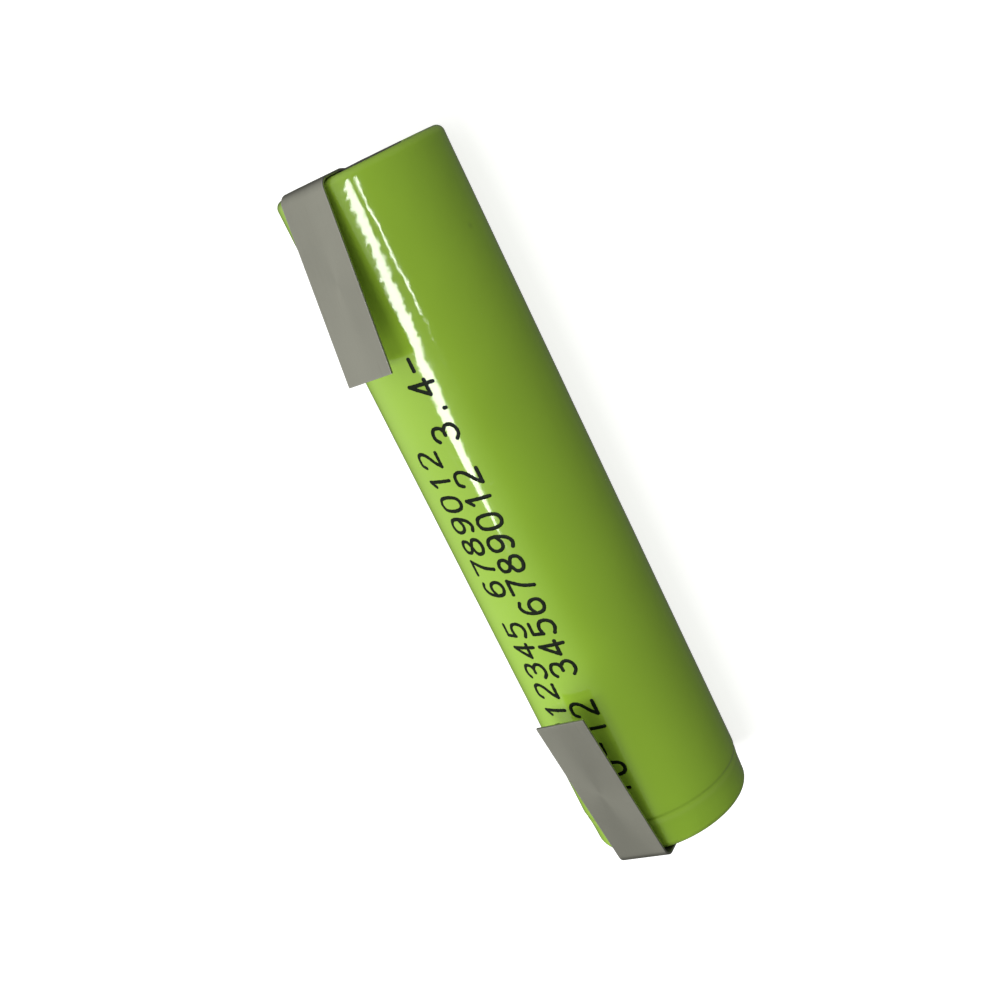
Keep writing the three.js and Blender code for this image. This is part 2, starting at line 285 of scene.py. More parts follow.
def noise(tree, vector, scale, detail=2.0, roughness=0.5):
    inputs = {"Vector": vector, "Scale": scale, "Detail": detail, "Roughness": roughness}
    return add_node(tree, "ShaderNodeTexNoise", inputs).outputs["Fac"]


def stretch(tree, vector, scale, rotation=(0, 0, 0), location=(0, 0, 0)):
    inputs = {"Vector": vector, "Scale": scale, "Rotation": rotation, "Location": location}
    return add_node(tree, "ShaderNodeMapping", inputs).outputs["Vector"]


def remap(tree, value, low, high, to_low=0.0, to_high=1.0):
    inputs = {"Value": value, 1: low, 2: high, 3: to_low, 4: to_high}
    made = add_node(tree, "ShaderNodeMapRange", inputs, interpolation_type="SMOOTHSTEP")
    return made.outputs["Result"]


def mix_colour(tree, share, first, second):
    made = add_node(tree, "ShaderNodeMix", {0: share, 6: first, 7: second}, data_type="RGBA")
    return made.outputs[2]


def bump(tree, height, microns, normal=None):
    inputs = {"Height": height, "Distance": microns * MICRON}
    if normal is not None:
        inputs["Normal"] = normal
    return add_node(tree, "ShaderNodeBump", inputs).outputs["Normal"]


def attribute(tree, name):
    return add_node(tree, "ShaderNodeAttribute", attribute_name=name).outputs["Fac"]


def new_group(name, inputs, outputs, family="Shader"):
    group = bpy.data.node_groups.new(name, family + "NodeTree")
    for side, sockets in (("INPUT", inputs), ("OUTPUT", outputs)):
        for label, kind in sockets:
            group.interface.new_socket(label, in_out=side, socket_type="NodeSocket" + kind)
    given = group.nodes.new("NodeGroupInput").outputs
    made = group.nodes.new("NodeGroupOutput").inputs
    return group, given, made


def use_group(tree, group, **inputs):
    return add_node(tree, "ShaderNodeGroup", inputs, node_tree=group).outputs


def new_material(name):
    """A new material with its nodes, its shader and its Object coordinates."""
    material = bpy.data.materials.new(name)
    material.use_nodes = True
    tree = material.node_tree
    shader = tree.nodes["Principled BSDF"]
    here = add_node(tree, "ShaderNodeTexCoord").outputs["Object"]
    return material, tree, shader, here


def set_shader(tree, shader, **inputs):
    for key, value in inputs.items():
        feed(tree, shader.inputs[key.replace("_", " ")], value)


# ---- effects that finishes share


def grain_group():
    """Fine surface grain on two scales."""
    group, given, made = new_group(
        "fine grain", [("Vector", "Vector"), ("Scale", "Float")], [("Height", "Float")]
    )
    coarse = noise(group, given["Vector"], given["Scale"], 3.0)
    tight = noise(group, given["Vector"], times(group, given["Scale"], 4.7), 2.0)
    height = calc(group, "MULTIPLY_ADD", tight, 0.35, times(group, coarse, 0.65))
    group.links.new(height, made["Height"])
    return group


def scuff_group():
    """Sparse hairline scuffs in two directions."""
    group, given, made = new_group(
        "hairline scuffs",
        [("Vector", "Vector"), ("Scale", "Float"), ("Amount", "Float")],
        [("Mask", "Float")],
    )
    masks = []
    for turn, run in ((0.35, (0.07, 1.0, 1.0)), (-0.9, (1.0, 0.06, 0.8))):
        laid = stretch(group, given["Vector"], run, rotation=(turn, turn, turn))
        line = noise(group, laid, given["Scale"], 2.0, 0.6)
        threshold = calc(group, "SUBTRACT", 0.78, times(group, given["Amount"], 0.2))
        above = calc(group, "SUBTRACT", line, threshold)
        masks.append(calc(group, "MULTIPLY", above, 14.0, clamp=True))
    broad = noise(group, given["Vector"], times(group, given["Scale"], 0.06))
    patch = remap(group, broad, 0.4, 0.65)
    both = calc(group, "MAXIMUM", masks[0], masks[1])
    group.links.new(times(group, both, patch), made["Mask"])
    return group


def speck_group():
    """Small separate specks, as of dust or pigment."""
    group, given, made = new_group(
        "specks",
        [("Vector", "Vector"), ("Scale", "Float"), ("Amount", "Float"), ("Size", "Float")],
        [("Mask", "Float")],
    )
    cells = add_node(
        group, "ShaderNodeTexVoronoi", {"Vector": given["Vector"], "Scale": given["Scale"]}
    ).outputs
    near = remap(group, cells["Distance"], given["Size"], 0.0)
    pick = add_node(group, "ShaderNodeSeparateColor", {"Color": cells["Color"]}).outputs[0]
    chosen = calc(group, "LESS_THAN", pick, given["Amount"])
    group.links.new(times(group, near, chosen), made["Mask"])
    return group


def drift_group():
    """Slow drift of a colour in brightness and warmth."""
    group, given, made = new_group(
        "tone drift",
        [("Vector", "Vector"), ("Scale", "Float"), ("Depth", "Float"), ("Color", "Color")],
        [("Color", "Color")],
    )
    light = noise(group, given["Vector"], given["Scale"], 2.0)
    warm = noise(group, given["Vector"], times(group, given["Scale"], 0.37), 1.0)
    value = calc(group, "MULTIPLY_ADD", calc(group, "SUBTRACT", light, 0.5), given["Depth"], 1.0)
    hue_depth = times(group, given["Depth"], 0.06)
    hue = calc(group, "MULTIPLY_ADD", calc(group, "SUBTRACT", warm, 0.5), hue_depth, 0.5)
    drifted = add_node(
        group, "ShaderNodeHueSaturation", {"Hue": hue, "Value": value, "Color": given["Color"]}
    )
    group.links.new(drifted.outputs["Color"], made["Color"])
    return group


def wear_group():
    """Patchy wear that eats in from the edges."""
    group, given, made = new_group(
        "edge wear",
        [("Edge", "Float"), ("Vector", "Vector"), ("Scale", "Float"), ("Amount", "Float")],
        [("Mask", "Float")],
    )
    rough = noise(group, given["Vector"], given["Scale"], 3.0, 0.6)
    ragged = times(group, rough, 0.6)
    reach = calc(group, "MULTIPLY_ADD", given["Edge"], given["Amount"], ragged)
    group.links.new(remap(group, reach, 0.55, 0.95), made["Mask"])
    return group


def turning_group():
    """Rings left by drawing or turning about the cell's axis."""
    group, given, made = new_group(
        "turning marks", [("Vector", "Vector"), ("Scale", "Float")], [("Height", "Float")]
    )
    centred = stretch(group, given["Vector"], (1, 1, 1), location=(0, 0, -AXIS_HEIGHT * MM))
    parts = add_node(group, "ShaderNodeSeparateXYZ", {"Vector": centred}).outputs
    up_squared = times(group, parts["Z"], parts["Z"])
    squared = calc(group, "MULTIPLY_ADD", parts["Y"], parts["Y"], up_squared)
    reach = calc(group, "POWER", squared, 0.5)
    rings = add_node(
        group, "ShaderNodeTexNoise", {"W": reach, "Scale": given["Scale"], "Detail": 3.0},
        noise_dimensions="1D",
    )
    group.links.new(rings.outputs["Fac"], made["Height"])
    return group


GRAIN = grain_group()
SCUFFS = scuff_group()
SPECKS = speck_group()
DRIFT = drift_group()
WEAR = wear_group()
TURNING = turning_group()


# ---- finishes

# Colours are linear red, green, blue and alpha. Pattern scales are in cycles to the metre.
FILM_GREEN = (0.315, 0.53, 0.042, 1)
FILM_STRETCHED = (0.37, 0.55, 0.10, 1)
FILM_SPECK = (0.09, 0.14, 0.03, 1)
NICKEL_GREY = (0.36, 0.36, 0.30, 1)
NICKEL_MOTTLE = (0.36, 0.35, 0.29, 1)
NICKEL_BRIGHT = (0.44, 0.44, 0.40, 1)
WELD_STRAW = (0.42, 0.30, 0.14, 1)
WELD_BLUE = (0.16, 0.17, 0.22, 1)
STEEL_DULL = (0.46, 0.45, 0.41, 1)
STEEL_SPOT = (0.30, 0.25, 0.17, 1)
INK_BLACK = (0.006, 0.010, 0.004, 1)
INK_THIN = (0.03, 0.055, 0.012, 1)


def shrink_film():
    """Glossy green shrink film, crinkled where it was heated most."""
    material, tree, shader, here = new_material("green shrink film")
    green = use_group(tree, DRIFT, Vector=here, Scale=110.0, Depth=0.16, Color=FILM_GREEN)
    specks = use_group(tree, SPECKS, Vector=here, Scale=420.0, Amount=0.035, Size=0.16)["Mask"]
    scuffs = use_group(tree, SCUFFS, Vector=here, Scale=2600.0, Amount=0.55)["Mask"]
    stretched = times(tree, remap(tree, attribute(tree, "stretch"), 0.0, 1.0), 0.3)
    paled = mix_colour(tree, stretched, green["Color"], FILM_STRETCHED)
    dusty = mix_colour(tree, times(tree, specks, 0.45), paled, FILM_SPECK)
    along = add_node(tree, "ShaderNodeSeparateXYZ", {"Vector": here}).outputs["X"]
    heated = remap(tree, along, 0.004, -0.017, 0.12, 1.0)
    crinkle = noise(tree, stretch(tree, here, (0.8, 1.0, 1.0)), 850.0, 1.5, 0.45)
    tight = noise(tree, here, 2400.0, 1.0)
    folds = calc(tree, "MULTIPLY_ADD", tight, 0.2, crinkle)
    height = times(tree, calc(tree, "SUBTRACT", folds, 0.6), heated)
    normal = bump(tree, height, 24)
    lines = noise(tree, stretch(tree, here, (0.05, 1.0, 1.0)), 900.0, 2.0)
    normal = bump(tree, lines, 2.2, normal)
    normal = bump(tree, scuffs, -2, normal)
    gloss = calc(tree, "MULTIPLY_ADD", crinkle, 0.06, 0.05)
    roughness = calc(tree, "MULTIPLY_ADD", scuffs, 0.2, gloss)
    set_shader(
        tree, shader, Base_Color=dusty, Roughness=roughness, Normal=normal,
        IOR=1.5, Specular_IOR_Level=0.7,
    )
    return material


def nickel_strip():
    """Rolled nickel ribbon: brushed along its length, bright at its sheared edges, and
    tinted straw and blue round its welds."""
    material, tree, shader, _ = new_material("rolled nickel ribbon")
    laid = add_node(tree, "ShaderNodeUVMap", uv_map="ribbon").outputs["UV"]
    brush = noise(tree, stretch(tree, laid, (0.06, 1.0, 1.0)), 5200.0, 3.0, 0.6)
    mottle = use_group(tree, GRAIN, Vector=laid, Scale=2300.0)["Height"]
    tone = use_group(tree, DRIFT, Vector=laid, Scale=420.0, Depth=0.13, Color=NICKEL_GREY)
    scuffs = use_group(tree, SCUFFS, Vector=laid, Scale=3400.0, Amount=0.7)["Mask"]
    edge = attribute(tree, "edge")
    worn = use_group(tree, WEAR, Edge=edge, Vector=laid, Scale=2600.0, Amount=0.62)["Mask"]
    tint = attribute(tree, "weld_tint")
    mottled = remap(tree, mottle, 0.36, 0.64, 0.0, 0.22)
    marked = mix_colour(tree, mottled, tone["Color"], NICKEL_MOTTLE)
    edged = mix_colour(tree, times(tree, worn, 0.5), marked, NICKEL_BRIGHT)
    straw = mix_colour(tree, remap(tree, tint, 0.1, 0.5, 0.0, 0.5), edged, WELD_STRAW)
    blue = mix_colour(tree, remap(tree, tint, 0.55, 0.95, 0.0, 0.45), straw, WELD_BLUE)
    scored = calc(tree, "MULTIPLY_ADD", scuffs, 0.16, times(tree, brush, 0.20))
    dull = calc(tree, "ADD", 0.36, scored)
    roughness = calc(tree, "SUBTRACT", dull, times(tree, worn, 0.12))
    normal = bump(tree, brush, 1.1)
    normal = bump(tree, mottle, 1.6, normal)
    normal = bump(tree, scuffs, -1.6, normal)
    set_shader(
        tree, shader, Base_Color=blue, Metallic=0.92, Roughness=roughness, Normal=normal,
        Anisotropic=0.25,
    )
    return material


def plated_steel(name, shade, marks):
    """Nickel-plated drawn steel with faint turning rings, fingerprints and hairlines."""
    material, tree, shader, here = new_material(name)
    rings = use_group(tree, TURNING, Vector=here, Scale=marks)["Height"]
    tone = use_group(tree, DRIFT, Vector=here, Scale=260.0, Depth=0.12, Color=shade)
    scuffs = use_group(tree, SCUFFS, Vector=here, Scale=3000.0, Amount=0.6)["Mask"]
    cloud = use_group(tree, GRAIN, Vector=here, Scale=700.0)["Height"]
    clouded = remap(tree, cloud, 0.45, 0.7, 0.0, 0.35)
    dulled = mix_colour(tree, clouded, tone["Color"], STEEL_DULL)
    spotted = use_group(tree, SPECKS, Vector=here, Scale=900.0, Amount=0.05, Size=0.2)["Mask"]
    tinted = mix_colour(tree, times(tree, spotted, 0.5), dulled, STEEL_SPOT)
    scored = calc(tree, "MULTIPLY_ADD", scuffs, 0.2, 0.14)
    roughness = calc(tree, "MULTIPLY_ADD", cloud, 0.22, scored)
    normal = bump(tree, rings, 1.6)
    normal = bump(tree, scuffs, -1.5, normal)
    set_shader(
        tree, shader, Base_Color=tinted, Metallic=1.0, Roughness=roughness, Normal=normal,
        Anisotropic=0.15,
    )
    return material


def plain_finish(name, colour, second, scale, depth, roughness, microns, metallic=0.0, fibre=None):
    """Grainy matt finish for papers, seals, films and pastes: two tones, specks and grain.
    Fibre squeezes the grain along each axis."""
    material, tree, shader, here = new_material(name)
    laid = stretch(tree, here, fibre) if fibre else here
    grain = use_group(tree, GRAIN, Vector=laid, Scale=scale)["Height"]
    tone = use_group(tree, DRIFT, Vector=here, Scale=scale * 0.12, Depth=depth, Color=colour)
    specks = use_group(tree, SPECKS, Vector=laid, Scale=scale * 0.6, Amount=0.12, Size=0.3)["Mask"]
    mixed = mix_colour(tree, remap(tree, grain, 0.38, 0.66, 0.0, 0.7), tone["Color"], second)
    marked = mix_colour(tree, times(tree, specks, 0.35), mixed, second)
    rough = calc(tree, "MULTIPLY_ADD", grain, 0.2, roughness - 0.1)
    normal = bump(tree, grain, microns)
    set_shader(
        tree, shader, Base_Color=marked, Metallic=metallic, Roughness=rough, Normal=normal
    )
    return material


def printing_ink():
    """Dried black marking ink, thin in places."""
    material, tree, shader, here = new_material("marking ink")
    grain = use_group(tree, GRAIN, Vector=here, Scale=5200.0)["Height"]
    tone = use_group(tree, DRIFT, Vector=here, Scale=900.0, Depth=0.5, Color=INK_BLACK)
    thin = remap(tree, grain, 0.5, 0.75, 0.0, 0.5)
    faded = mix_colour(tree, thin, tone["Color"], INK_THIN)
    rough = calc(tree, "MULTIPLY_ADD", grain, 0.25, 0.3)
    set_shader(
        tree, shader, Base_Color=faded, Roughness=rough, Normal=bump(tree, grain, 2),
        Specular_IOR_Level=0.1,
    )
    return material


FILM = shrink_film()
NICKEL = nickel_strip()
CAN_STEEL = plated_steel("nickel-plated can steel", (0.70, 0.69, 0.66, 1), 5200.0)
CAP_STEEL = plated_steel("nickel-plated cap steel", (0.76, 0.75, 0.71, 1), 8800.0)
INK = printing_ink()
WASHER_PAPER = plain_finish(
    "white fibre paper", (0.80, 0.79, 0.74, 1), (0.62, 0.60, 0.53, 1),
    scale=2600.0, depth=0.1, roughness=0.85, microns=12, fibre=(1, 0.35, 1),
)
SEAL_NYLON = plain_finish(
    "milky nylon", (0.74, 0.71, 0.60, 1), (0.66, 0.62, 0.50, 1),
    scale=900.0, depth=0.08, roughness=0.42, microns=3,
)
VALVE_RUBBER = plain_finish(
    "black valve rubber", (0.018, 0.018, 0.020, 1), (0.035, 0.034, 0.033, 1),
    scale=2400.0, depth=0.2, roughness=0.72, microns=10,
)
INSULATOR_FILM = plain_finish(
    "insulating film", (0.62, 0.64, 0.50, 1), (0.54, 0.56, 0.43, 1),
    scale=1500.0, depth=0.12, roughness=0.38, microns=3,
)
POSITIVE_PASTE = plain_finish(
    "filled nickel foam", (0.040, 0.052, 0.046, 1), (0.16, 0.17, 0.16, 1),
    scale=3200.0, depth=0.25, roughness=0.82, microns=30, metallic=0.1,
)
NEGATIVE_POWDER = plain_finish(
    "pressed alloy powder", (0.13, 0.13, 0.14, 1), (0.22, 0.22, 0.235, 1),
    scale=4200.0, depth=0.2, roughness=0.62, microns=14, metallic=0.45,
)
FELT = plain_finish(
    "separator felt", (0.83, 0.82, 0.78, 1), (0.68, 0.67, 0.62, 1),
    scale=3600.0, depth=0.08, roughness=0.9, microns=20, fibre=(0.12, 1, 1),
)


def paint(piece, material):
    piece.data.materials.clear()
    piece.data.materials.append(material)
    return piece


# ---- shrink sleeve


def sleeve_side(inset):
    """Outer or inner line of the film, from one lip to the other."""
    corner = SLEEVE_CORNER - inset
    shoulder_corner = SHOULDER_CORNER - inset
    radius = SLEEVE_RADIUS - inset
    crease = CREASE_RADIUS - inset
    shoulder = SHOULDER_RADIUS - inset
    end = HALF - inset
    step, face_steps = (FILM_STEP, 8) if inset == 0 else (FILM_STEP_INSIDE, 4)
    line = [(-end, SLEEVE_LIP)]
    line += straight(line[-1], (-end, radius - corner), face_steps)[:-1]
    line += arc(-end + corner, radius - corner, corner, 180, 90, 12)
    line += straight(line[-1], (SHOULDER_START, radius), round(2 * HALF / step))
    line += eased(line[-1], (SHOULDER_CREASE, crease))
    line += straight(line[-1], (end - shoulder_corner, shoulder), 8)[:-1]
    line += arc(end - shoulder_corner, shoulder - shoulder_corner, shoulder_corner, 90, 0, 12)
    line += straight(line[-1], (end, SLEEVE_LIP), face_steps)
    return line


def film_relief(x, radius, around):
    """Gentle shrink waves along the side, pleats over the rims and an uneven lip."""
    at_end = ease(np.abs(x), HALF - 0.7, HALF - 0.1)
    waves = np.sin(3 * around + 0.31 * x) * np.sin(0.83 * x + 1.3 * np.sin(around))
    waves += 0.6 * np.sin(5 * around - 0.52 * x + 2.0) * np.cos(1.37 * x)
    depth = WAVE_DEPTH * (1 + 0.6 * waves / 1.6)
    ridge = RIDGE_HEIGHT * hump(x, RIDGE_MIDDLE, RIDGE_WIDTH)
    body = radius - (1 - at_end) * depth + ridge * (radius < SLEEVE_RADIUS)
    face = ease(SHOULDER_RADIUS - radius, 0.2, 0.9)
    pleats = np.sin(PLEATS * around + np.sign(x)) * (0.6 + 0.4 * np.sin(5 * around + 0.7))
    lip = 0.05 * np.sin(4 * around + 1.1) + 0.035 * np.sin(9 * around + 0.4 * np.sign(x))
    lift = PLEAT_LIFT * face * (1 - pleats)
    return x - np.sign(x) * lift, body + at_end * face * (LIP_DRAW + lip)


def build_sleeve():
    outline = sleeve_side(0) + sleeve_side(SLEEVE_WALL)[::-1]
    sleeve = turned("shrink_sleeve", outline, SLEEVE_SIDES, film_relief, sharp_deg=50)
    points = np.array([v.co for v in sleeve.data.vertices]) / MM
    reach = np.hypot(points[:, 1], points[:, 2] - AXIS_HEIGHT)
    over_rim = ease(np.abs(points[:, 0]), HALF - 0.55, HALF - 0.1)
    over_bead = hump(points[:, 0], SHOULDER_CREASE + 0.2, 0.22)
    drawn = np.clip(over_rim + 0.8 * over_bead * (reach > SHOULDER_RADIUS - 0.2), 0, 1)
    add_mask(sleeve.data, "stretch", drawn)
    paint(sleeve, FILM)
    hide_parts("sleeve")
    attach(sleeve, "cell")


build_sleeve()


# ---- steel can, cap and washer


def build_can():
    """Drawn cup with a stepped floor, a bead and a crimped mouth."""
    bead = CAN_RADIUS - BEAD_DEPTH
    bore = CAN_RADIUS - CAN_WALL
    foot = BEAD_FLAT + BEAD_FLANK
    mouth_bore = MOUTH_RADIUS - CAN_WALL
    lip_corner = MOUTH_CORNER - CAN_WALL
    lip_back = CRIMP_TOP - CRIMP_THICKNESS
    floor_top = CAN_BASE + CAN_FLOOR
    step = CAN_BASE + FLOOR_STEP
    outline = [(step, 0), (step, 0.35), (step, FLOOR_STEP_RADIUS - 0.35)]
    outline += [(CAN_BASE + 0.035, FLOOR_STEP_RADIUS - 0.22)]
    outline += [(CAN_BASE + 0.012, FLOOR_STEP_RADIUS - 0.12), (CAN_BASE, FLOOR_STEP_RADIUS)]
    outline += straight(outline[-1], (CAN_BASE, CAN_RADIUS - CAN_CORNER), 6)[:-1]
    outline += arc(CAN_BASE + CAN_CORNER, CAN_RADIUS - CAN_CORNER, CAN_CORNER, 180, 90)
    outline += straight(outline[-1], (BEAD_MIDDLE - foot, CAN_RADIUS), 24)
    outline += eased(outline[-1], (BEAD_MIDDLE - BEAD_FLAT, bead))
    outline.append((BEAD_MIDDLE + BEAD_FLAT, bead))
    outline += eased(outline[-1], (BEAD_MIDDLE + foot, MOUTH_RADIUS))
    outline += arc(CRIMP_TOP - MOUTH_CORNER, MOUTH_RADIUS - MOUTH_CORNER, MOUTH_CORNER, 90, 0)
    outline += [(CRIMP_TOP, CRIMP_LIP + 0.03), (CRIMP_TOP - 0.03, CRIMP_LIP), (lip_back, CRIMP_LIP)]
    outline += arc(lip_back - lip_corner, mouth_bore - lip_corner, lip_corner, 0, 90, 5)
    inner_flat = BEAD_FLAT + CAN_WALL / 4
    inner_foot = foot + CAN_WALL / 2
    outline += [(BEAD_MIDDLE + inner_foot, mouth_bore), (BEAD_MIDDLE + inner_flat, bead - CAN_WALL)]
    outline += [(BEAD_MIDDLE - inner_flat, bead - CAN_WALL), (BEAD_MIDDLE - inner_foot, bore)]
    inner = CAN_INNER_CORNER
    outline += arc(floor_top + inner, bore - inner, inner, 90, 180, 5)
    outline.append((floor_top, 0))
    can = paint(turned("drawn_can", outline, CAN_SIDES), CAN_STEEL)
    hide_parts("can")
    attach(can, "cell")


def build_cap():
    """Terminal cap with a raised contact ring, rounded edge and side vents."""
    flange_top = CAP_FLANGE + CAP_WALL
    bore = CAP_RADIUS - CAP_WALL
    under = CAP_TOP - CAP_WALL
    dish = CAP_TOP - CAP_DISH
    outline = [(under, 0), (under, bore - CAP_INNER_EDGE)]
    outline += arc(under - CAP_INNER_EDGE, bore - CAP_INNER_EDGE, CAP_INNER_EDGE, 0, 90, 4)
    outline += [(CAP_FLANGE, bore), (CAP_FLANGE, CAP_FLANGE_RADIUS)]
    outline += [(flange_top, CAP_FLANGE_RADIUS)]
    outline += arc(flange_top + CAP_FILLET, CAP_RADIUS + CAP_FILLET, CAP_FILLET, 180, 270, 4)
    outline += arc(CAP_TOP - CAP_EDGE, CAP_RADIUS - CAP_EDGE, CAP_EDGE, 90, 0, 6)
    outline += [(CAP_TOP, CAP_DISH_RADIUS + 0.15), (CAP_TOP - 0.012, CAP_DISH_RADIUS + 0.08)]
    outline += [(dish, CAP_DISH_RADIUS), (dish, 0.4), (dish, 0)]
    cap = turned("terminal_cap_shell", outline, CAP_SIDES)
    middle = (flange_top + under) / 2
    for vent in range(CAP_VENTS):
        turn = 2 * math.pi * vent / CAP_VENTS
        drill_mesh = bpy.data.meshes.new("vent_drill")
        shape = bmesh.new()
        radius = CAP_VENT_RADIUS * MM
        bmesh.ops.create_cone(
            shape, cap_ends=True, segments=32, radius1=radius, radius2=radius, depth=2 * MM
        )
        place = Matrix.Translation(Vector((middle, 0, AXIS_HEIGHT)) * MM)
        place = place @ Matrix.Rotation(-turn, 4, "X") @ Matrix.Translation((0, 0, CAP_RADIUS * MM))
        bmesh.ops.transform(shape, matrix=place, verts=shape.verts)
        shape.to_mesh(drill_mesh)
        shape.free()
        drill = add_object("vent_drill", drill_mesh)
        cut = cap.modifiers.new("vent", "BOOLEAN")
        cut.operation = "DIFFERENCE"
        cut.solver = "EXACT"
        cut.object = drill
        apply_modifiers(cap)
        bpy.data.objects.remove(drill)
        bpy.data.meshes.remove(drill_mesh)
    finish_mesh(cap.data)
    paint(cap, CAP_STEEL)
    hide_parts("terminal_cap")
    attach(cap, "cell")


def build_washer():
    """Punched paper ring, slightly dished and fuzzy at its hole."""
    front = WASHER_BACK + WASHER_THICKNESS
    outline = [(WASHER_BACK, WASHER_RADIUS), (WASHER_BACK, WASHER_HOLE + 0.03)]
    outline += [(WASHER_BACK + 0.03, WASHER_HOLE)]
    outline += [(front - 0.04, WASHER_HOLE), (front - 0.01, WASHER_HOLE + 0.04)]
    outline += straight(outline[-1], (front - 0.005, WASHER_RADIUS), 8)

    def relief(x, radius, around):
        fuzz = WASHER_FUZZ * np.sin(17 * around) * np.sin(41 * around + 0.8)
        sag = WASHER_SAG * (1 + np.sin(2 * around + 0.6)) * (x > WASHER_BACK + 0.2)
        return x - sag, radius + fuzz * (radius < WASHER_HOLE + 0.1) * (radius > 0)

    washer = paint(turned("paper_washer", outline, WASHER_SIDES, relief), WASHER_PAPER)
    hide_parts("end_washer")
    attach(washer, "cell")


build_can()
build_cap()
build_washer()


# ---- solder tabs

# Weld spots as (up from the axis, across the strip)
WELD_SPOTS = [(-1.15, -0.62), (-1.15, 0.62), (0.85, -0.62), (0.85, 0.62)]
WELD_RADIUS = 0.34
WELD_DEPTH = 0.055
WELD_DISH = 0.012
PATH_STEP = 0.07
BEND_STEPS = 14
LEG_STEPS = 59
ACROSS_STEPS = 45
SMOOTH_PASSES = 3
EDGE_WEAR = 0.16


def ribbon_path(tab):
    """Middle line of a tab as (outward, up) points from the end of its weld leg, with the
    heading, the outward normal and the distance travelled at each point."""
    lean = math.radians(tab["lean"])
    bend = math.pi / 2 - lean
    middle = TAB_PROUD - TAB_THICKNESS / 2
    tangent = TAB_BEND * math.tan(bend / 2)
    arc_up = TAB_ROOT - tangent
    seat = middle - tab["sink"]
    corners = [(seat, -TAB_REACH), (seat, TAB_SEAT), (middle, TAB_STEP), (middle, arc_up)]
    line = [corners[0]]
    for first, second in zip(corners, corners[1:]):
        count = max(2, round(math.dist(first, second) / PATH_STEP))
        line += straight(first, second, count)
    reach = TAB_BEND - TAB_THICKNESS / 2
    hub = np.array((TAB_PROUD - TAB_BEND, arc_up))
    for turn in np.linspace(0, bend, BEND_STEPS + 1)[1:]:
        line.append(hub + (reach * math.cos(turn), reach * math.sin(turn)))
    along = np.array((-math.cos(lean), math.sin(lean)))
    outward = np.array((math.sin(lean), math.cos(lean)))
    root = np.array((TAB_PROUD, TAB_ROOT)) - outward * TAB_THICKNESS / 2
    for share in np.linspace(0, 1, LEG_STEPS + 1)[1:]:
        line.append(root + along * (tangent + (tab["length"] - tangent) * share))
    line = np.array(line)
    for _ in range(SMOOTH_PASSES):
        straight_part = line[:, 1] < arc_up - 0.2
        smoothed = (np.roll(line, 1, axis=0) + 2 * line + np.roll(line, -1, axis=0)) / 4
        smoothed[0], smoothed[-1] = line[0], line[-1]
        line = np.where(straight_part[:, None], smoothed, line)
    heading = np.gradient(line, axis=0)
    heading /= np.linalg.norm(heading, axis=1)[:, None]
    normals = np.stack([heading[:, 1], -heading[:, 0]], axis=1)
    travel = np.concatenate([[0], np.cumsum(np.linalg.norm(np.diff(line, axis=0), axis=1))])
    return line, heading, normals, travel


def ribbon_section():
    """Rounded rectangle: (across, out) points once round the strip."""

    def corner(across, out, from_deg):
        turns = np.radians([from_deg - 30, from_deg - 60, from_deg - 90])
        return [(across + TAB_EDGE * math.cos(t), out + TAB_EDGE * math.sin(t)) for t in turns]

    face = TAB_THICKNESS / 2
    half, flat = TAB_WIDTH / 2 - TAB_EDGE, face - TAB_EDGE
    section = [(across, face) for across in np.linspace(-half, half, ACROSS_STEPS)]
    section += corner(half, flat, 90) + corner(half, -flat, 0)
    section += [(across, -face) for across in np.linspace(half, -half, ACROSS_STEPS)[1:]]
    section += corner(-half, -flat, 270) + corner(-half, flat, 180)
    return np.array(section[:-1])


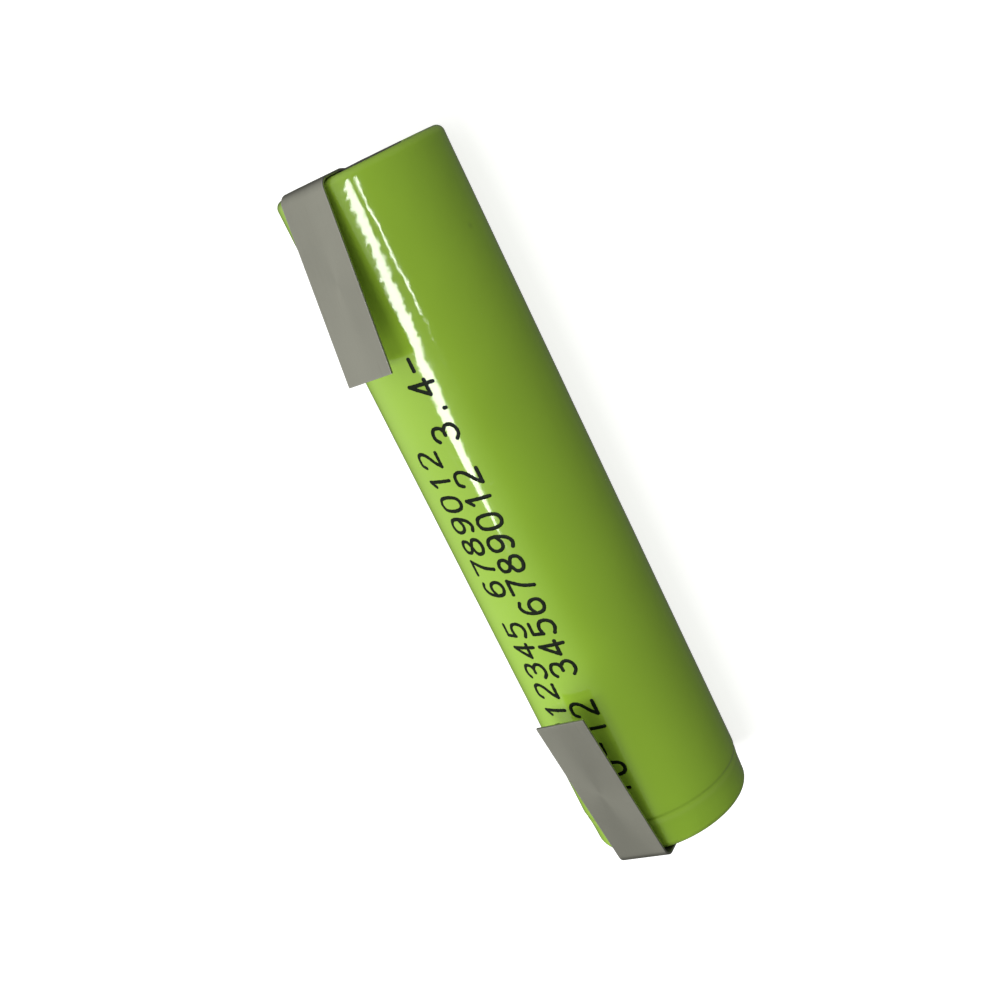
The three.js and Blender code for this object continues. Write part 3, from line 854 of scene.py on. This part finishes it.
def build_tab(name, tab):
    line, heading, normals, travel = ribbon_path(tab)
    section = ribbon_section()
    sides = len(section)
    total = travel[-1]
    # Rounded ends: how far two stations at each end move inwards and shrink, in edge radii.
    ends = [(0.0, 1.0), (0.3, 0.29)]
    stations = [(0, inwards, shrink) for inwards, shrink in ends]
    stations += [(index, 0.0, 0.0) for index in range(1, len(line) - 1)]
    stations += [(len(line) - 1, -inwards, shrink) for inwards, shrink in ends[::-1]]
    points, places, tint = [], [], []
    for index, inwards, shrink in stations:
        centre = line[index] + heading[index] * inwards * TAB_EDGE
        for across, out in section:
            y = across - math.copysign(shrink * TAB_EDGE, across)
            n = out - math.copysign(shrink * TAB_EDGE, out)
            up = centre[1]
            warm = 0.0
            if up < TAB_SEAT and out > 0:
                for spot_up, spot_y in WELD_SPOTS:
                    gap = math.hypot(up - spot_up, y - spot_y) / WELD_RADIUS
                    n -= WELD_DEPTH * math.exp(-(gap**4)) + WELD_DISH * hump(gap, 0, 2.2)
                    warm = max(warm, hump(gap, 0, 1.25))
            place = centre + normals[index] * n
            points.append((tab["end"] * (HALF + place[0]), y, place[1]))
            places.append((travel[index], y + 0.5 * (out < 0)))
            tint.append(warm)
    faces = ring_faces(len(stations), sides, False)
    count = len(stations) * sides
    faces.append(tuple(range(sides))[::-1])
    faces.append(tuple(range(count - sides, count)))
    turn = Matrix.Rotation(math.radians(tab["around"]), 3, "X")
    lift = Vector((0, 0, AXIS_HEIGHT))
    points = np.array([turn @ Vector(p) + lift for p in points])
    strip = make_piece(f"{name}_tab_ribbon", points, faces, sharp_deg=60)
    mesh = strip.data
    layer = mesh.uv_layers.new(name="ribbon")
    corner = np.zeros(len(mesh.loops), np.int32)
    mesh.loops.foreach_get("vertex_index", corner)
    layer.data.foreach_set("uv", (np.array(places)[corner] * MM).astype(np.float32).ravel())
    out = np.tile(section, (len(stations), 1))
    rim = np.maximum(
        ease(np.abs(out[:, 0]), TAB_WIDTH / 2 - EDGE_WEAR, TAB_WIDTH / 2 - 0.01),
        ease(np.array(places)[:, 0], total - EDGE_WEAR, total - 0.01),
    )
    add_mask(mesh, "edge", rim)
    add_mask(mesh, "weld_tint", np.array(tint))
    paint(strip, NICKEL)
    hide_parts(f"{name}_tab_weld_leg", f"{name}_tab_free_leg")

    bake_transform(strip)


for tab_name, tab_sizes in TABS.items():
    build_tab(tab_name, tab_sizes)


# ---- wound sheets

CORE_RADIUS = 0.8
# Sheets from the inside out: (thickness, from angle, to angle, material, slot)
SHEETS = {
    "positive_electrode": (0.6, -60, 795, POSITIVE_PASTE, "positive_sheet"),
    "inner_separator": (0.12, -60, 825, FELT, "separator_felt"),
    "negative_electrode": (0.34, 30, 840, NEGATIVE_POWDER, "negative_sheet"),
    "outer_separator": (0.12, 15, 480, FELT, "separator_felt"),
}
SHEET_GAP = 0.02
WINDING_PITCH = sum(size[0] for size in SHEETS.values()) + 4 * SHEET_GAP
# Turned so that the heavier side of the winding lies down
WINDING_ROLL = -24 - 90
SHEET_STEP = 4


def paint_result(tree, shaped, given, made):
    """Give the shaped geometry its material, and put it out."""
    painted = add_node(
        tree, "GeometryNodeSetMaterial",
        {"Geometry": shaped.outputs[0], "Material": given["Material"]},
    )
    tree.links.new(painted.outputs[0], made["Geometry"])


def spiral_tree():
    """Geometry Nodes tree: a flat box of sheet rolled into its place in the winding."""
    sizes = [
        ("Geometry", "Geometry"), ("Steps", "Int"), ("Low end", "Float"), ("High end", "Float"),
        ("From angle", "Float"), ("To angle", "Float"), ("Inner radius", "Float"),
        ("Thickness", "Float"), ("Rise per radian", "Float"), ("Roll", "Float"),
        ("Axis height", "Float"), ("Material", "Material"),
    ]
    tree, given, made = new_group("wound sheet", sizes, [("Geometry", "Geometry")], "Geometry")
    sheet = add_node(
        tree, "GeometryNodeMeshCube",
        {"Size": (1, 1, 1), "Vertices X": given["Steps"], "Vertices Y": 9, "Vertices Z": 2},
    )
    place = tree.nodes.new("GeometryNodeInputPosition").outputs[0]
    parts = add_node(tree, "ShaderNodeSeparateXYZ", {0: place}).outputs

    def share(axis):
        return calc(tree, "ADD", parts[axis], 0.5)

    def between(low, high, amount):
        return calc(tree, "MULTIPLY_ADD", calc(tree, "SUBTRACT", high, low), amount, low)

    angle = between(given["From angle"], given["To angle"], share("X"))
    rise = calc(tree, "MULTIPLY_ADD", angle, given["Rise per radian"], given["Inner radius"])
    radius = calc(tree, "MULTIPLY_ADD", share("Z"), given["Thickness"], rise)
    turned_to = calc(tree, "ADD", angle, given["Roll"])
    x = between(given["Low end"], given["High end"], share("Y"))
    y = times(tree, radius, calc(tree, "COSINE", turned_to))
    z = calc(tree, "MULTIPLY_ADD", radius, calc(tree, "SINE", turned_to), given["Axis height"])
    rolled = add_node(tree, "ShaderNodeCombineXYZ", {"X": x, "Y": y, "Z": z}).outputs[0]
    placed = add_node(
        tree, "GeometryNodeSetPosition", {"Geometry": sheet.outputs["Mesh"], "Position": rolled}
    )
    whole = add_node(tree, "GeometryNodeRealizeInstances", {"Geometry": placed.outputs[0]})
    paint_result(tree, whole, given, made)
    return tree


def from_tree(name, tree, material, values, mesh=None, sharp_deg=SHARP_DEG):
    """Run a tree with its inputs set by identifier, and keep the result as a plain mesh."""
    values = {**values, "Axis height": AXIS_HEIGHT * MM, "Material": material}
    piece = add_object(name, mesh or bpy.data.meshes.new(name))
    live = piece.modifiers.new("made", "NODES")
    live.node_group = tree
    for item in tree.interface.items_tree:
        if item.in_out == "INPUT" and item.name in values:
            live[item.identifier] = values[item.name]
    piece.update_tag()
    apply_modifiers(piece)
    piece.data.name = name
    finish_mesh(piece.data, sharp_deg)
    return piece


def build_winding():
    tree = spiral_tree()
    offset = 0.0
    for node, (thickness, low_deg, high_deg, material, slot) in SHEETS.items():
        low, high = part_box(node)
        values = {
            "Steps": round((high_deg - low_deg) / SHEET_STEP) + 1,
            "Low end": low.x,
            "High end": high.x,
            "From angle": math.radians(low_deg),
            "To angle": math.radians(high_deg),
            "Inner radius": (CORE_RADIUS + offset) * MM,
            "Thickness": thickness * MM,
            "Rise per radian": WINDING_PITCH / (2 * math.pi) * MM,
            "Roll": math.radians(WINDING_ROLL),
        }
        sheet = from_tree(f"{node}_roll", tree, material, values)
        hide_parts(node)
        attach(sheet, "cell")
        offset += thickness + SHEET_GAP


build_winding()


# ---- printed marks

GLYPH_HEIGHT = 1.5
GLYPH_WIDTH = 0.9
GLYPH_PITCH = 1.43
GLYPH_SLANT = 0.08
DOT_SPACING = 0.09
DOT_RADIUS = 0.125
DOT_RISE = 0.014
DOT_UNEVENNESS = 0.07
MARK_RADIUS = SLEEVE_RADIUS - 0.006
# Pen strokes of each sign in a cell 4 wide and 6 high.
SIGNS = {
    "0": [[(2, 6), (0.5, 5.3), (0, 3), (0.5, 0.7), (2, 0), (3.5, 0.7), (4, 3), (3.5, 5.3), (2, 6)]],
    "1": [[(0.9, 4.7), (2.3, 6)], [(2.3, 6), (2.3, 0)]],
    "2": [[(0, 4.8), (0.7, 5.8), (2, 6), (3.4, 5.7), (4, 4.5), (3.3, 3), (1.2, 1.3), (0, 0)],
          [(0, 0), (4, 0)]],
    "3": [[(0.1, 5.2), (1, 5.9), (2.4, 6), (3.7, 5.3), (3.7, 3.9), (2.8, 3.2), (1.6, 3.1)],
          [(2.8, 3.2), (4, 2.2), (4, 1), (2.9, 0.1), (1.2, 0), (0, 0.8)]],
    "4": [[(3, 0), (3, 6)], [(3, 6), (0, 1.8)], [(0, 1.8), (4, 1.8)]],
    "5": [[(3.7, 6), (0.5, 6)], [(0.5, 6), (0.3, 3.4)],
          [(0.3, 3.4), (2, 3.8), (3.6, 3.2), (4, 1.8), (3.2, 0.4), (1.6, 0), (0, 0.6)]],
    "6": [[(3.6, 5.6), (2.2, 6), (0.7, 5), (0, 2.6), (0.4, 0.7), (2, 0), (3.6, 0.6), (4, 1.9),
           (3.3, 3.2), (1.8, 3.5), (0.3, 2.7)]],
    "7": [[(0, 6), (4, 6)], [(4, 6), (2.2, 2.8), (1.5, 0)]],
    "8": [[(2, 3.2), (0.5, 4), (0.5, 5.4), (2, 6), (3.5, 5.4), (3.5, 4), (2, 3.2)],
          [(2, 3.2), (0, 2.2), (0.2, 0.6), (2, 0), (3.8, 0.6), (4, 2.2), (2, 3.2)]],
    "9": [[(0.4, 0.4), (1.8, 0), (3.3, 1), (4, 3.4), (3.6, 5.3), (2, 6), (0.4, 5.4), (0, 4.1),
           (0.7, 2.8), (2.2, 2.5), (3.8, 3.3)]],
    "+": [[(0.2, 3), (3.8, 3)], [(2, 1.2), (2, 4.8)]],
    "-": [[(0.4, 3), (3.6, 3)]],
    ".": [[(2, 0), (2, 0.35)]],
    " ": [],
}
# Counting numerals and polarity signs: (text, where its first sign starts, angle round).
MARK_LINES = [
    ("012345 6789012", 13.3, -11.0),
    (" +0-12 3456789012 3.4-", 19.2, 10.4),
]


def pen_points(corners):
    """Evenly spaced points on a smooth line through the corners."""
    ends = [corners[0], *corners, corners[-1]]
    line = []
    for a, b, c, d in zip(ends, ends[1:], ends[2:], ends[3:]):
        a, b, c, d = (np.array(p, float) for p in (a, b, c, d))
        for t in np.linspace(0, 1, 9)[:-1]:
            line.append(
                0.5 * (2 * b + (c - a) * t + (2 * a - 5 * b + 4 * c - d) * t * t
                       + (3 * b - a - 3 * c + d) * t**3)
            )
    line.append(np.array(corners[-1], float))
    line = np.array(line) * (GLYPH_WIDTH / 4, GLYPH_HEIGHT / 6)
    travel = np.concatenate([[0], np.cumsum(np.linalg.norm(np.diff(line, axis=0), axis=1))])
    stops = np.linspace(0, travel[-1], max(2, round(travel[-1] / DOT_SPACING) + 1))
    return np.stack([np.interp(stops, travel, line[:, axis]) for axis in (0, 1)], axis=1)


def glyph_dots(sign, start_x, arc_at):
    """Dot centres of one sign, as (x, arc length) on the rolled-out film."""
    dots = []
    for stroke in SIGNS[sign]:
        for run, rise in pen_points(stroke):
            rise -= GLYPH_HEIGHT / 2
            dots.append((start_x - run - rise * GLYPH_SLANT, arc_at - rise, 0))
    return dots


def dot_tree():
    """Geometry Nodes tree: a low ink dot at each point, laid on the curve of the film."""
    sizes = [
        ("Geometry", "Geometry"), ("Dot radius", "Float"), ("Dot rise", "Float"),
        ("Unevenness", "Float"), ("Film radius", "Float"), ("Axis height", "Float"),
        ("Seed", "Int"), ("Material", "Material"),
    ]
    tree, given, made = new_group("ink dots", sizes, [("Geometry", "Geometry")], "Geometry")
    dot = add_node(
        tree, "GeometryNodeMeshUVSphere",
        {"Segments": 10, "Rings": 4, "Radius": given["Dot radius"]},
    )
    rise = calc(tree, "DIVIDE", given["Dot rise"], given["Dot radius"])
    squeeze = add_node(tree, "ShaderNodeCombineXYZ", {"X": 1.0, "Y": 1.0, "Z": rise}).outputs[0]
    flat = add_node(
        tree, "GeometryNodeTransform", {"Geometry": dot.outputs["Mesh"], "Scale": squeeze}
    )
    least = calc(tree, "SUBTRACT", 1.0, given["Unevenness"])
    most = calc(tree, "ADD", 1.0, given["Unevenness"])
    size = add_node(
        tree, "FunctionNodeRandomValue", {2: least, 3: most, "Seed": given["Seed"]},
        data_type="FLOAT",
    ).outputs[1]
    laid = add_node(
        tree, "GeometryNodeInstanceOnPoints",
        {"Points": given["Geometry"], "Instance": flat.outputs[0], "Scale": size},
    )
    whole = add_node(tree, "GeometryNodeRealizeInstances", {"Geometry": laid.outputs[0]})
    place = tree.nodes.new("GeometryNodeInputPosition").outputs[0]
    parts = add_node(tree, "ShaderNodeSeparateXYZ", {0: place}).outputs
    around = calc(tree, "DIVIDE", parts["Y"], given["Film radius"])
    radius = calc(tree, "ADD", parts["Z"], given["Film radius"])
    y = times(tree, radius, calc(tree, "SINE", around))
    z = calc(tree, "MULTIPLY_ADD", radius, calc(tree, "COSINE", around), given["Axis height"])
    wrapped = add_node(tree, "ShaderNodeCombineXYZ", {"X": parts["X"], "Y": y, "Z": z}).outputs[0]
    placed = add_node(
        tree, "GeometryNodeSetPosition", {"Geometry": whole.outputs[0], "Position": wrapped}
    )
    paint_result(tree, placed, given, made)
    return tree


def build_marks():
    tree = dot_tree()
    for number, (text, first_x, around_deg) in enumerate(MARK_LINES, 1):
        arc_at = math.radians(around_deg) * MARK_RADIUS
        dots = []
        for index, sign in enumerate(text):
            dots += glyph_dots(sign, first_x - index * GLYPH_PITCH, arc_at)
        mesh = bpy.data.meshes.new(f"mark_points_{number}")
        mesh.from_pydata((np.array(dots) * MM).tolist(), [], [])
        values = {
            "Dot radius": DOT_RADIUS * MM,
            "Dot rise": DOT_RISE * MM,
            "Unevenness": DOT_UNEVENNESS,
            "Film radius": MARK_RADIUS * MM,
            "Seed": number,
        }
        marks = from_tree(f"ink_marks_{number}", tree, INK, values, mesh, sharp_deg=80)
        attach(marks, "cell")


build_marks()


# ---- pieces kept from the CAD

KEPT = {
    "gasket": SEAL_NYLON,
    "sealing_plate": CAN_STEEL,
    "vent_plug": VALVE_RUBBER,
    "top_insulator": INSULATOR_FILM,
    "bottom_insulator": INSULATOR_FILM,
    "positive_lead": plated_steel("lead ribbon nickel", (0.60, 0.58, 0.52, 1), 3000.0),
}
for node_name, node_material in KEPT.items():
    paint(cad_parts[node_name], node_material)


# ---- floor, light, camera

FLOOR_RADIUS = 1.5
FLOOR_WHITE = (0.5, 0.5, 0.495, 1)
FLOOR_GLOW = 1.65
# Soft dome: strengths away from and towards its bright side, between two slants to it
DOME_TOWARD = (-0.25, -0.68, 0.69)
DOME_LOW = 0.1
DOME_HIGH = 0.74
DOME_SLANTS = (0.1, 0.95)
LIGHT_TARGET = (0, 0, 0.006)
# Area lights: (name, place, size, power, direction of the long side, seen in gloss)
LIGHTS = [
    ("long window", (0.0225, 0.0125, 0.30), (0.18, 0.036), 0.3, (0.508, -0.861, 0), True),
    ("side strip", (0.002, 0.155, 0.33), (0.055, 0.015), 0.045, (0.94, -0.34, 0), True),
    ("high key", (0.07, -0.09, 0.085), (0.05, 0.05), 0.1, (1, 0, 0), False),
    ("right fill", (-0.25, 0.28, 0.03), (0.2, 0.2), 0.6, (1, 0, 0), False),
]
CAMERA_PLACE = (-0.02306, 0.05027, 0.07417)
CAMERA_RIGHT = (0.42995, 0.78318, -0.44918)
CAMERA_UP = (-0.86719, 0.21979, -0.44684)
LENS = 52.75
CLIP_START = 0.001


def build_floor():
    """Plain pale floor, lit evenly enough to leave only a soft contact shadow."""
    mesh = bpy.data.meshes.new("studio_floor")
    shape = bmesh.new()
    bmesh.ops.create_circle(shape, cap_ends=True, segments=96, radius=FLOOR_RADIUS)
    shape.to_mesh(mesh)
    shape.free()
    floor = add_object("studio_floor", mesh)
    material, tree, shader, here = new_material("pale studio floor")
    grain = use_group(tree, GRAIN, Vector=here, Scale=300.0)["Height"]
    tone = use_group(tree, DRIFT, Vector=here, Scale=4.0, Depth=0.02, Color=FLOOR_WHITE)["Color"]
    set_shader(
        tree, shader, Base_Color=tone, Roughness=0.9, Normal=bump(tree, grain, 10),
        Specular_IOR_Level=0.1, Emission_Color=tone, Emission_Strength=FLOOR_GLOW,
    )
    paint(floor, material)
    floor.visible_diffuse = False
    floor.visible_glossy = False


def turn_to(right, up, back, place):
    """Matrix of a light or camera from its three directions and its place."""
    turn = Matrix((right, up, back)).transposed()
    return Matrix.Translation(place) @ turn.to_4x4()


def add_area(name, place, size, power, long_side, in_gloss):
    data = bpy.data.lights.new(name, "AREA")
    data.shape = "RECTANGLE"
    data.size, data.size_y = size
    data.energy = power
    light = add_object(name, data)
    light.visible_glossy = in_gloss
    back = (Vector(place) - Vector(LIGHT_TARGET)).normalized()
    side = Vector(long_side)
    side = (side - back * side.dot(back)).normalized()
    light.matrix_world = turn_to(side, back.cross(side), back, place)


def build_world():
    """Soft dome, brightest high on one side, with plain white behind the cell."""
    world = bpy.data.worlds.new("soft room")
    bpy.context.scene.world = world
    world.use_nodes = True
    tree = world.node_tree
    sky = tree.nodes["Background"]
    sky.inputs["Color"].default_value = (1, 1, 1, 1)
    heading = add_node(tree, "ShaderNodeTexCoord").outputs["Generated"]
    toward = add_node(
        tree, "ShaderNodeVectorMath", {0: heading, 1: DOME_TOWARD}, operation="DOT_PRODUCT"
    ).outputs["Value"]
    dome = remap(tree, toward, *DOME_SLANTS, DOME_LOW, DOME_HIGH)
    seen = add_node(tree, "ShaderNodeLightPath").outputs["Is Camera Ray"]
    tree.links.new(calc(tree, "MAXIMUM", dome, seen), sky.inputs["Strength"])


def build_camera():
    data = bpy.data.cameras.new("camera")
    data.lens = LENS
    data.clip_start = CLIP_START
    camera = add_object("camera", data)
    right, up = Vector(CAMERA_RIGHT), Vector(CAMERA_UP)
    camera.matrix_world = turn_to(right, up, right.cross(up), CAMERA_PLACE)
    bpy.context.scene.camera = camera


build_floor()
build_world()
for light in LIGHTS:
    add_area(*light)
build_camera()
bpy.context.scene.view_settings.view_transform = "Standard"
